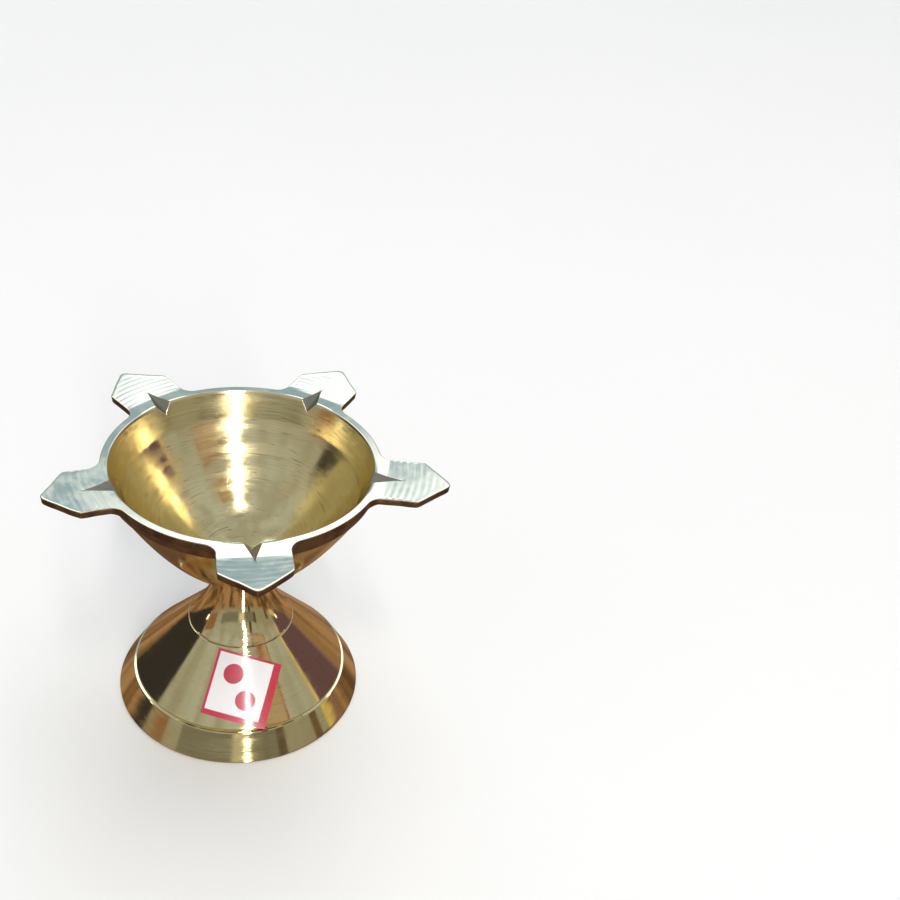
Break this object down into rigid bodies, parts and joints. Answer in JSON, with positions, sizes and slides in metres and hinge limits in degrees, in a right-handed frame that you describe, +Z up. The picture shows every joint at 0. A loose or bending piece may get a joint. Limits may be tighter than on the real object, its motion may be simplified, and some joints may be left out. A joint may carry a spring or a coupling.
{
  "type": "oil lamp",
  "caption": "Turned brass oil bowl with flat pointed wick rests and filed wick grooves round its rim, screwed onto a hollow trumpet-shaped pedestal foot.",
  "frame": {"origin": "centre of the ring that the foot stands on, on the lamp's axis", "axes": "+Z up along the lamp's axis, -Y towards the front wick leaf, +X to its right seen from the front"},
  "size_m": [0.0744, 0.0703, 0.057],
  "materials": {
    "bowl_brass": "lathe-turned and polished, with a belt-sanded rim and brown cast edges",
    "foot_brass": "lathe-turned and polished",
    "label_paper": "coated white paper with a crimson printed border"
  },
  "bodies": {
    "root": {"oil_bowl": "bowl_brass", "pedestal_foot": "foot_brass", "size_label": "label_paper"}
  },
  "joints": []
}
